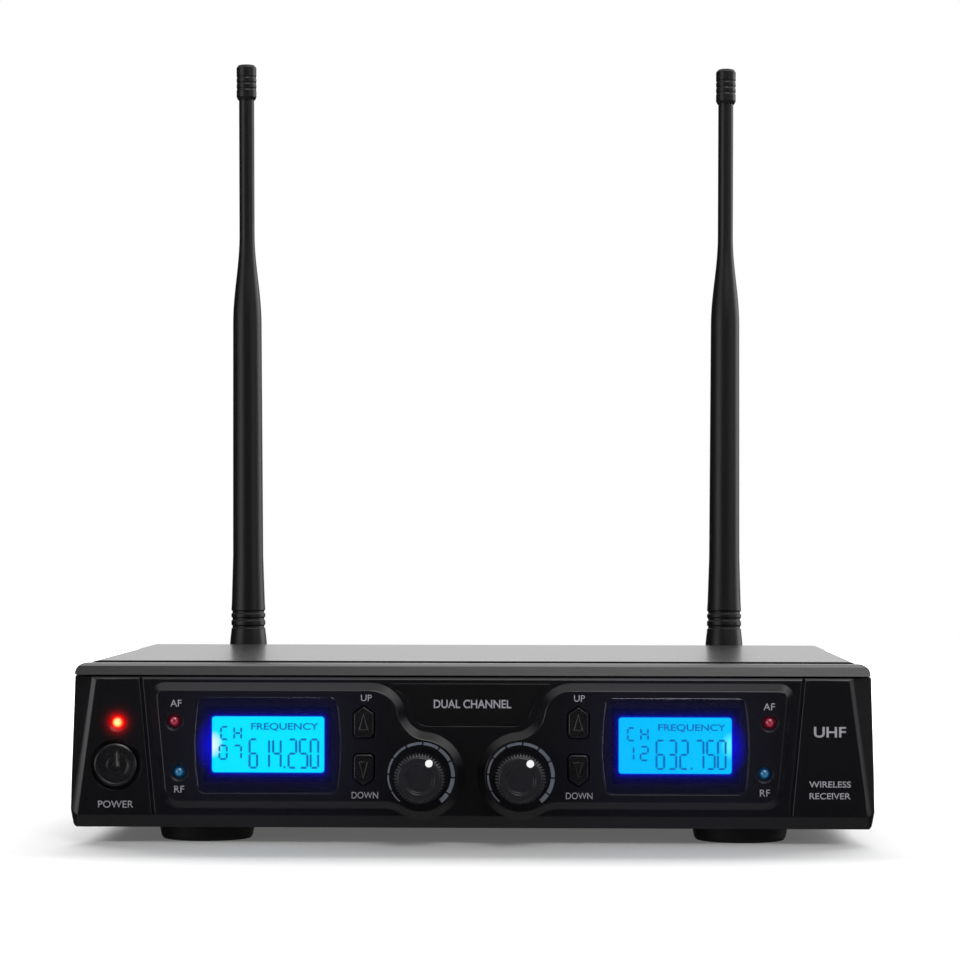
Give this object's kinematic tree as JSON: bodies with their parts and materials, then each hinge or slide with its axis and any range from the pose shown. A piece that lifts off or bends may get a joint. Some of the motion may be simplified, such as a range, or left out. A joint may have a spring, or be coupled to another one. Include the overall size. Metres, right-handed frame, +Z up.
{
  "type": "wireless microphone receiver",
  "caption": "Desktop wireless receiver with lit display windows, volume knobs, push buttons, status LEDs, round feet and tilting whip antennas on its rear.",
  "frame": {"origin": "centre of the bounding box in X and Y, on the surface that the rubber feet stand on", "axes": "+X to the right seen from the front, +Y from the front panel to the rear, +Z up"},
  "size_m": [0.2074, 0.1791, 0.2238],
  "materials": {
    "case_plastic": "satin black moulded plastic with a fine grain",
    "panel_plastic": "satin black painted plastic, polished along the edges of its raised areas",
    "trim_plastic": "semi-gloss charcoal",
    "rear_paint": "black powder-coated steel sheet",
    "display_window": "smoked acrylic",
    "lcd": "lit liquid crystal glass",
    "backlight": "white light box",
    "button_plastic": "black moulded plastic",
    "knob_plastic": "black moulded plastic",
    "pointer_paint": "white",
    "led_red": "lit red lens",
    "led_blue": "lit blue lens",
    "foot_rubber": "black rubber",
    "antenna_rubber": "black moulded rubber",
    "steel": "zinc plated",
    "black_steel": "black oxide",
    "nickel": "nickel plated brass",
    "gold": "gold plated",
    "circuit_board": "green solder mask",
    "component_black": "moulded epoxy",
    "component_blue": "printed sleeve",
    "white_nylon": "natural nylon",
    "cable_grey": "grey PVC",
    "aluminium": "extruded",
    "tinplate": "tinned"
  },
  "bodies": {
    "case": {"top_cover": "case_plastic", "bottom_case": "case_plastic", "rear_panel": "rear_paint", "front_panel": "panel_plastic", "top_trim": "trim_plastic", "badge_plate": "panel_plastic", "display_lens_a": "display_window", "display_lens_b": "display_window", "lcd_glass_a": "lcd", "lcd_glass_b": "lcd", "lcd_backlight_a": "backlight", "lcd_backlight_b": "backlight", "power_switch": "component_black", "tact_switches": "component_black", "potentiometers": "steel", "power_led": "led_red", "af_leds": "led_red", "rf_leds": "led_blue", "front_board": "circuit_board", "main_board": "circuit_board", "board_screws": "steel", "ribbon_cable": "cable_grey", "ribbon_headers": "white_nylon", "rf_shields": "tinplate", "capacitors": "component_blue", "board_chips": "component_black", "heat_sink": "aluminium", "xlr_sockets": "component_black", "xlr_pins": "gold", "xlr_screws": "black_steel", "jack_socket": "component_black", "dc_inlet": "component_black", "panel_nuts": "nickel", "antenna_sockets": "nickel", "antenna_socket_nuts": "nickel", "rubber_feet": "foot_rubber", "case_screws": "black_steel"},
    "power_button": {"power_button": "button_plastic"},
    "up_button_a": {"up_button_a": "button_plastic"},
    "down_button_a": {"down_button_a": "button_plastic"},
    "volume_knob_a": {"volume_knob_a": "knob_plastic", "knob_pointer_a": "pointer_paint", "pot_shaft_a": "aluminium"},
    "antenna_collar_a": {"antenna_collar_a": "component_black"},
    "antenna_elbow_a": {"antenna_elbow_a": "component_black", "antenna_pin_a": "steel"},
    "antenna_whip_a": {"antenna_whip_a": "antenna_rubber", "antenna_tip_a": "antenna_rubber"},
    "up_button_b": {"up_button_b": "button_plastic"},
    "down_button_b": {"down_button_b": "button_plastic"},
    "volume_knob_b": {"volume_knob_b": "knob_plastic", "knob_pointer_b": "pointer_paint", "pot_shaft_b": "aluminium"},
    "antenna_collar_b": {"antenna_collar_b": "component_black"},
    "antenna_elbow_b": {"antenna_elbow_b": "component_black", "antenna_pin_b": "steel"},
    "antenna_whip_b": {"antenna_whip_b": "antenna_rubber", "antenna_tip_b": "antenna_rubber"}
  },
  "joints": [
    {"name": "power_press", "type": "slide", "parent": "case", "child": "power_button", "axis": [0, 1, 0], "range_m": [0, 0.0008], "stiffness_N_per_m": 900, "springref_m": -0.0012},
    {"name": "up_press_a", "type": "slide", "parent": "case", "child": "up_button_a", "axis": [0, 1, 0], "range_m": [0, 0.0005], "stiffness_N_per_m": 900, "springref_m": -0.0012},
    {"name": "down_press_a", "type": "slide", "parent": "case", "child": "down_button_a", "axis": [0, 1, 0], "range_m": [0, 0.0005], "stiffness_N_per_m": 900, "springref_m": -0.0012},
    {"name": "volume_turn_a", "type": "hinge", "parent": "case", "child": "volume_knob_a", "pos_m": [-0.01285, -0.08052, 0.0177], "axis": [0, 1, 0], "range_deg": [-174, 112]},
    {"name": "up_press_b", "type": "slide", "parent": "case", "child": "up_button_b", "axis": [0, 1, 0], "range_m": [0, 0.0005], "stiffness_N_per_m": 900, "springref_m": -0.0012},
    {"name": "down_press_b", "type": "slide", "parent": "case", "child": "down_button_b", "axis": [0, 1, 0], "range_m": [0, 0.0005], "stiffness_N_per_m": 900, "springref_m": -0.0012},
    {"name": "volume_turn_b", "type": "hinge", "parent": "case", "child": "volume_knob_b", "pos_m": [0.01285, -0.08052, 0.0177], "axis": [0, 1, 0], "range_deg": [-174, 112]},
    {"name": "bayonet_turn_a", "type": "hinge", "parent": "case", "child": "antenna_collar_a", "pos_m": [-0.0726, 0.06008, 0.025], "axis": [0, 1, 0], "range_deg": [0, 90]},
    {"name": "antenna_swivel_a", "type": "hinge", "parent": "case", "child": "antenna_elbow_a", "pos_m": [-0.0726, 0.06707, 0.025], "axis": [0, 1, 0], "range_deg": [-90, 20]},
    {"name": "antenna_tilt_a", "type": "hinge", "parent": "antenna_elbow_a", "child": "antenna_whip_a", "pos_m": [-0.0726, 0.07608, 0.025], "axis": [-1, 0, -0.0061], "range_deg": [0, 90]},
    {"name": "bayonet_turn_b", "type": "hinge", "parent": "case", "child": "antenna_collar_b", "pos_m": [0.0726, 0.06008, 0.025], "axis": [0, 1, 0], "range_deg": [0, 90]},
    {"name": "antenna_swivel_b", "type": "hinge", "parent": "case", "child": "antenna_elbow_b", "pos_m": [0.0726, 0.06707, 0.025], "axis": [0, 1, 0], "range_deg": [-20, 90]},
    {"name": "antenna_tilt_b", "type": "hinge", "parent": "antenna_elbow_b", "child": "antenna_whip_b", "pos_m": [0.0726, 0.07608, 0.025], "axis": [-1, 0, 0.0061], "range_deg": [-3, 87]}
  ]
}
